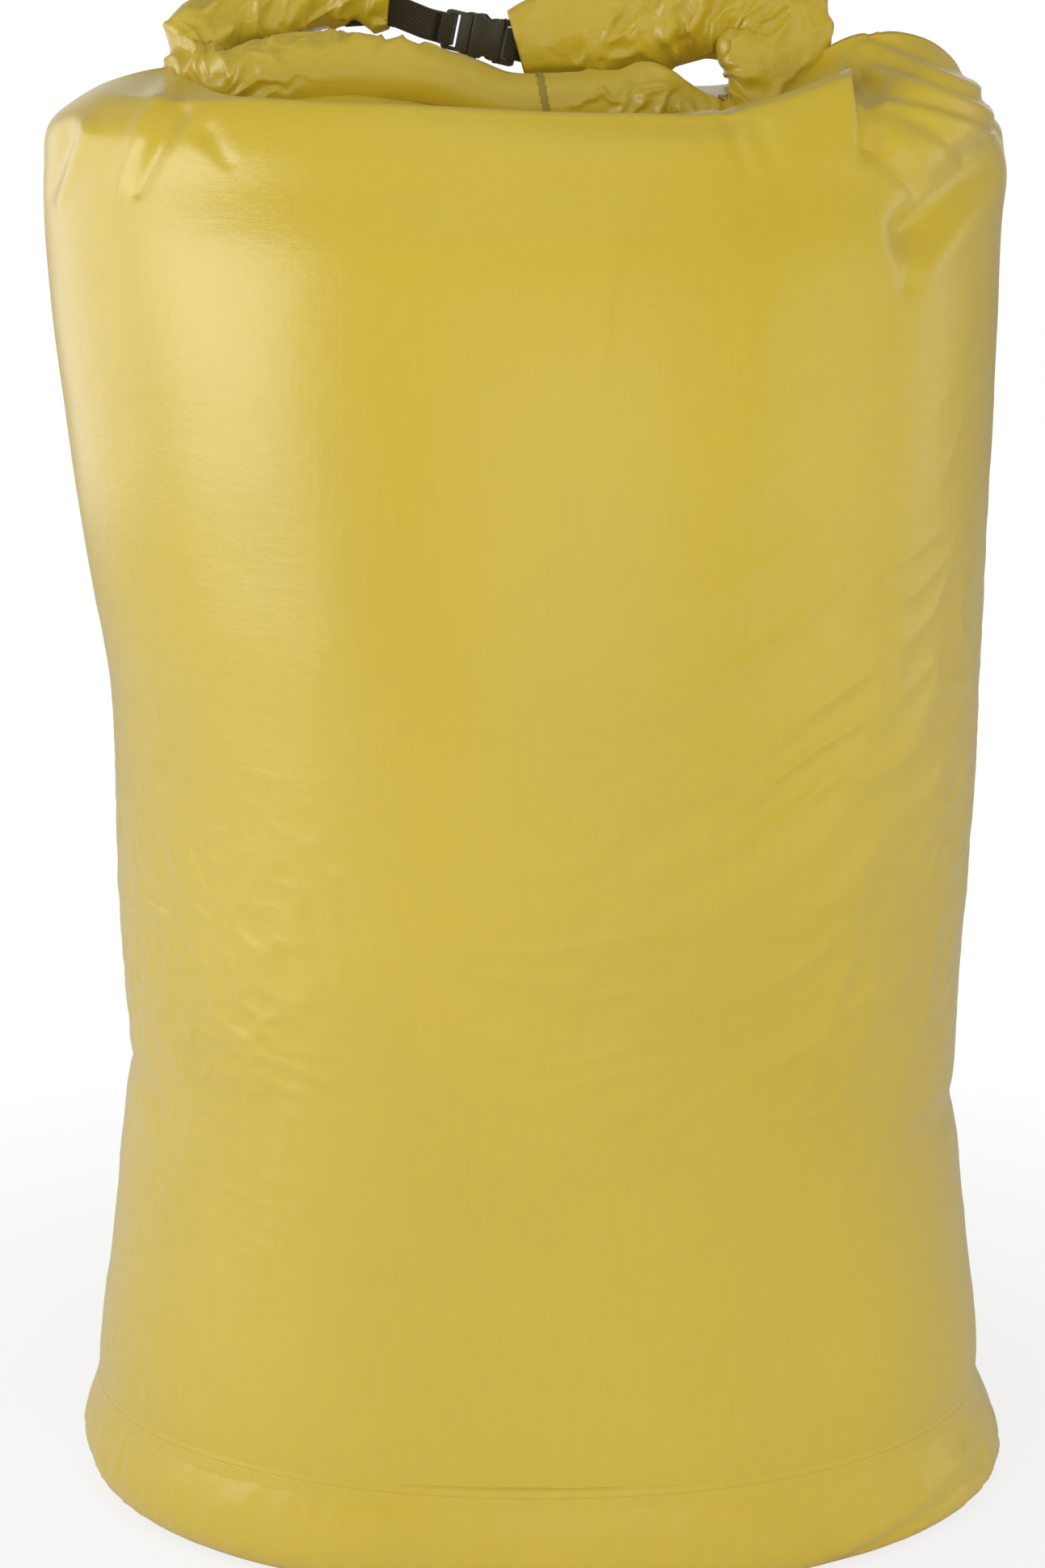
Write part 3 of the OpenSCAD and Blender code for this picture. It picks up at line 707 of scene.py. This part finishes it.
# height, left half width, right half width, half depth
BASE = [
    [0.6, 0.0, 0.0, 0.0],
    [0.6, 60.0, 60.0, 50.0],
    [0.4, 120.0, 120.0, 100.0],
    [0.2, 165.0, 166.0, 138.0],
    [1.0, 181.0, 186.0, 152.0],
    [3.5, 190.0, 197.0, 158.0],
    [9.0, 195.5, 200.3, 161.0],
    [16.0, 197.6, 199.0, 162.0],
    [24.0, 197.0, 196.0, 161.8],
    [32.0, 194.5, 192.6, 161.0],
    [38.0, 192.3, 190.4, 160.0],
    [42.0, 191.0, 189.2, 159.2]]


def make_base():
    table = np.asarray(BASE, float)
    rows = along(np.column_stack([table[:, 0], table[:, 1], table[:, 3], table[:, 2]]), 110)
    angle = np.arange(AROUND) * 2 * math.pi / AROUND
    c, s = np.cos(angle)[None, :], np.sin(angle)[None, :]
    z = rows[:, 0][:, None] + 0 * c
    square = 0.94
    x = np.where(c > 0, rows[:, 3][:, None], rows[:, 1][:, None]) * np.sign(c) * np.abs(c) ** square
    y = rows[:, 2][:, None] * np.sign(s) * np.abs(s) ** square
    grid = np.stack([x, y, np.maximum(z, 0.2)], axis=2)
    grid[0] += np.stack([c * 0.5, s * 0.5, 0 * c], axis=2)[0]
    n = normals_of(grid, True)
    side = smooth((grid[..., 2] - 1.0) / 8.0) * smooth((43.0 - grid[..., 2]) / 14.0)
    tucks = ridges(stretched(grid, (0.3, 0.0, 1.0), 40.0, 8.0), 21) * 0.7
    tucks = tucks + crease(grid, (118, 2), (186, 18), 3.0, -2.2, 0.1)
    tucks = tucks + crease(grid, (122, 10), (178, 26), 3.5, 1.4, 0.2)
    tucks = tucks + crease(grid, (-197, 16), (-182, 4), 3.0, -2.0, 0.2)
    grid = grid + n * (side * tucks)[..., None]
    grid[..., 2] = np.maximum(grid[..., 2], 0.2)
    base = shell("base_fabric", mm(grid), FABRIC_T)
    dress(base, FABRIC)
    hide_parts("base_panel")
    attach(base, "sack")


make_seams(make_sack())
make_base()

# ---------------------------------------------------------------- the rolled mouth

# x, y, z of the middle of the roll, half height in the plane of the loop, half depth across it
ROLL = [
    [-59.5, 3.0, 624.5, 11.5, 8.5],
    [-70, 4.0, 626.0, 12.8, 9.5],
    [-86, 4.5, 626.0, 13.5, 10.5],
    [-104, 3.0, 622.5, 15.0, 11.0],
    [-122, -2.0, 616.0, 15.0, 11.0],
    [-134, -10.0, 608.0, 13.0, 11.0],
    [-137.5, -19.0, 598.5, 12.2, 11.0],
    [-129, -27.0, 591.5, 12.5, 11.5],
    [-112, -31.0, 592.5, 16.0, 12.5],
    [-92, -32.0, 596.0, 16.2, 13.0],
    [-72, -32.0, 596.8, 15.8, 13.0],
    [-52, -32.0, 594.8, 15.6, 12.8],
    [-32, -32.0, 590.0, 15.0, 12.6],
    [-14, -32.0, 584.0, 14.4, 12.5],
    [4, -32.0, 582.8, 15.0, 12.5],
    [30, -32.0, 583.5, 15.3, 12.5],
    [50, -32.0, 584.0, 14.6, 12.0],
    [62, -31.5, 580.5, 11.5, 11.0],
    [74, -31.0, 577.5, 10.5, 10.0],
    [85, -29.5, 583.0, 15.5, 10.5],
    [92, -26.0, 594.0, 23.0, 11.0],
    [96, -20.0, 609.0, 21.5, 11.5],
    [89, -16.0, 620.0, 20.0, 12.0],
    [78, -12.5, 620.5, 18.0, 12.0],
    [60, -11.5, 615.5, 17.6, 12.0],
    [42, -11.0, 612.5, 19.0, 12.0],
    [22, -11.0, 611.5, 19.4, 11.5],
    [4, -11.0, 609.5, 17.6, 10.5],
    [-9, -11.0, 606.0, 15.2, 9.5]]
ROLL_ROWS = 620
ROLL_SIDES = 128
LEFT_INNER = (-133.0, 587.0)     # where the pleats of the left turn meet
RIGHT_INNER = (64.0, 594.0)      # and those of the right turn


def roll_frame(rows):
    """Tangent, in-plane and across axes of the roll at each row."""
    tangent = np.gradient(rows[:, :3], axis=0)
    tangent /= np.linalg.norm(tangent, axis=1, keepdims=True)
    across = np.cross(tangent, (0.0, 1.0, 0.0))
    across /= np.linalg.norm(across, axis=1, keepdims=True)
    depth = np.cross(across, tangent)
    return tangent, across, depth


def pleats(p, centre, reach, spokes, seed):
    """Folds that fan out round a point seen from the front, deepest near it."""
    dx, dz = p[..., 0] - centre[0], p[..., 2] - centre[1]
    radius = np.sqrt(dx**2 + dz**2)
    turn = np.arctan2(dz, dx)
    wobble = 0.35 * noise(p / 14.0, seed) + 0.12 * noise(p / 5.0, seed + 1)
    fan = np.stack([np.cos(turn + wobble) * spokes, np.sin(turn + wobble) * spokes, radius / 22.0], axis=-1)
    return ridges(fan, seed + 2) * bump(np.maximum(radius - 16, 0), reach) * smooth((radius - 5) / 11)


END_RINGS = 26


def rolled_end(ring, centre, outward):
    """The layers of a roll seen at its end: rings that shrink inwards in folds of uneven depth."""
    t = np.linspace(0, 1, END_RINGS + 1)[1:]
    turn = np.linspace(0, 2 * math.pi, len(ring), endpoint=False)
    rings = []
    for share in t:
        fold = np.abs(np.sin(3.2 * math.pi * share + 0.5 * turn))
        depth = -0.6 - 3.4 * (1 - fold) * smooth(share * 5) - 2.0 * share
        shrink = 1 - 0.86 * share
        rings.append(centre + (ring - centre) * shrink + outward * depth[:, None])
    return np.stack(rings)


def make_roll():
    rows = along(ROLL, ROLL_ROWS)
    tangent, across, depth = roll_frame(rows)
    phi = np.arange(ROLL_SIDES) * 2 * math.pi / ROLL_SIDES
    c, s = np.cos(phi)[None, :, None], np.sin(phi)[None, :, None]
    half_h, half_d = rows[:, 3][:, None, None], rows[:, 4][:, None, None]
    axis = rows[:, None, :3]
    grid = axis + across[:, None, :] * half_h * c + depth[:, None, :] * half_d * s
    n = normals_of(grid, True)
    outward = grid - axis
    n = n * np.sign(np.sum(n * outward, axis=2, keepdims=True))
    lift = 4.6 * pleats(grid, LEFT_INNER, 20.0, 3.6, 31)
    lift = lift + 5.4 * pleats(grid, RIGHT_INNER, 30.0, 3.6, 41)
    x = grid[..., 0]
    arms = smooth((grid[..., 2] - 603) / 10)
    slant = ridges(stretched(grid, (0.45, 0.0, 1.0), 26.0, 10.0), 51)
    lift = lift + 1.9 * arms * slant * smooth((np.abs(x - 20) + 18) / 60)
    tucked = np.abs(noise(stretched(grid, (0.40, 0.2, 1.0), 34.0, 12.0), 55)) - 0.3
    sharp = ridges(stretched(grid, (0.75, 0.1, 1.0), 26.0, 6.5), 56)
    lift = lift + arms * (3.4 * tucked + 2.2 * sharp) * smooth((np.abs(x - 8) + 8) / 40)
    hump = (1 - arms) * bump(x + 35, 75)
    lift = lift + 0.6 * hump * noise(grid / 22.0, 52)
    lift = lift + 0.9 * hump * ridges(stretched(grid, (1, 0, 0.35), 60, 14), 53)
    lift = lift - 2.0
    grid = grid + n * lift[..., None]
    grid = np.concatenate([rolled_end(grid[0], axis[0, 0], -tangent[0])[::-1], grid,
                           rolled_end(grid[-1], axis[-1, 0], tangent[-1])])
    n = np.concatenate([n[:1].repeat(END_RINGS, 0), n, n[-1:].repeat(END_RINGS, 0)])
    roll = shell("rolled_mouth", mm(grid[:, ::-1]), FABRIC_T)
    # the darker copy of the fabric, painted shade on the roll
    dress(roll, ROLL_SHADED_FABRIC)
    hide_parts("roll_front", "roll_left_arm", "roll_right_arm", "mouth_hem")
    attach(roll, "carry_loop")
    make_roll_seam(grid, n)


def make_roll_seam(grid, n):
    """The back seam where it comes round on the outside of the roll, as a slanting strip."""
    middle = slice(ROLL_ROWS // 4, ROLL_ROWS * 2 // 3)
    start = middle.start + int(np.argmin(np.abs(grid[middle, 0, 0] - 3.0)))
    turn = np.arange(ROLL_SIDES + 1)
    slant = np.round(-4 * np.cos(turn * 2 * math.pi / ROLL_SIDES)).astype(int)
    strip = []
    for side in (-2, -1, 1, 2):
        row = np.clip(start + slant + side, 0, ROLL_ROWS - 1)
        lift = 0.55 if abs(side) == 1 else 0.1
        strip.append(grid[row, turn % ROLL_SIDES] + n[row, turn % ROLL_SIDES] * lift)
    seam = shell("roll_seam", mm(np.stack(strip)[::-1]), 0.4 * MM, wrap=False)
    dress(seam, SEAM_SHADE)
    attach(seam, "carry_loop")


make_roll()

# ---------------------------------------------------------------- webbing and buckle

def refined(node, body, edge, material, segments=2):
    """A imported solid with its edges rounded, in its own place."""
    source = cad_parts[node]
    mesh = source.data.copy()
    mesh.transform(source.matrix_world)
    bm = bmesh.new()
    bm.from_mesh(mesh)
    bmesh.ops.remove_doubles(bm, verts=bm.verts, dist=1e-6)
    bmesh.ops.dissolve_limit(bm, angle_limit=math.radians(2), verts=bm.verts, edges=bm.edges)
    sharp = [e for e in bm.edges if len(e.link_faces) == 2 and e.calc_face_angle(0.0) > math.radians(28)]
    bmesh.ops.bevel(bm, geom=sharp, offset=edge * MM, segments=segments, profile=0.6, affect="EDGES",
                    clamp_overlap=True)
    for face in bm.faces:
        face.smooth = True
    bm.to_mesh(mesh)
    bm.free()
    mesh.set_sharp_from_angle(angle=math.radians(32))
    obj = bpy.data.objects.new(node + "_fine", mesh)
    bpy.context.scene.collection.objects.link(obj)
    dress(obj, material)
    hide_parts(node)
    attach(obj, body)


# x, y, z of the middle of the left strap, from inside the arm to the buckle's loop
LEFT_STRAP = [
    [-79.0, 4.0, 619.5],
    [-66.0, 3.6, 620.0],
    [-57.5, 3.2, 619.2],
    [-51.0, 2.4, 616.8],
    [-45.5, 1.4, 614.7],
    [-42.5, 0.6, 613.9]]
STRAP_W, STRAP_T = 12.5, 2.4     # the webbing lies double
STRAP_ROWS, STRAP_SIDES = 90, 36


def make_left_strap():
    rows = along(LEFT_STRAP, STRAP_ROWS)
    tangent = np.gradient(rows, axis=0)
    tangent /= np.linalg.norm(tangent, axis=1, keepdims=True)
    up = np.array([0.0, 0.0, 1.0]) - tangent[:, 2:3] * tangent
    up /= np.linalg.norm(up, axis=1, keepdims=True)
    out = np.cross(tangent, up)
    turn = np.linspace(0, 2 * math.pi, STRAP_SIDES, endpoint=False)
    c, s = np.cos(turn), np.sin(turn)
    wide = np.sign(c) * np.abs(c) ** 0.25 * STRAP_W / 2
    thick = np.sign(s) * np.abs(s) ** 0.4 * STRAP_T / 2
    share = np.linspace(0, 6, STRAP_ROWS)
    held = smooth(share) * smooth(np.linspace(6, 0, STRAP_ROWS))
    ripple = 0.35 * np.sin(np.linspace(0, 5.0, STRAP_ROWS)) * held
    across_it = (thick[None, :] + ripple[:, None])[..., None]
    grid = rows[:, None] + up[:, None] * wide[None, :, None] + out[:, None] * across_it
    first, last = rows[:1, None], rows[-1:, None]
    grid = np.concatenate([first + (grid[:1] - first) * 0.02, grid, last + (grid[-1:] - last) * 0.02])
    ends = [tuple(range(STRAP_SIDES))[::-1],
            tuple(range((len(grid) - 1) * STRAP_SIDES, len(grid) * STRAP_SIDES))]
    faces = grid_faces(len(grid), STRAP_SIDES, True) + ends
    strap = new_mesh("left_strap", mm(grid.reshape(-1, 3)), faces)
    dress(strap, WEBBING)
    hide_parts("left_webbing")
    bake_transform(strap)


make_left_strap()
for node_name, body_name, edge, stuff, slot_name in (
        ("left_webbing_loop", "buckle_male", 0.35, WEBBING, "webbing"),
        ("right_webbing_loop", "carry_loop", 0.35, WEBBING, "webbing"),
        ("right_webbing", "carry_loop", 0.45, WEBBING, "webbing"),
        ("left_bartack", "buckle_male", 0.12, DARK_THREAD, "dark_thread"),
        ("right_bartack", "carry_loop", 0.12, DARK_THREAD, "dark_thread"),
        ("buckle_housing", "carry_loop", 0.45, BUCKLE, "buckle"),
        ("buckle_frame", "buckle_male", 0.35, BUCKLE, "buckle"),
        ("upper_prong", "upper_prong", 0.25, BUCKLE, "buckle"),
        ("lower_prong", "lower_prong", 0.25, BUCKLE, "buckle")):
    refined(node_name, body_name, edge, stuff)
dress(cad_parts["mouth_stiffener"], STIFFENER)
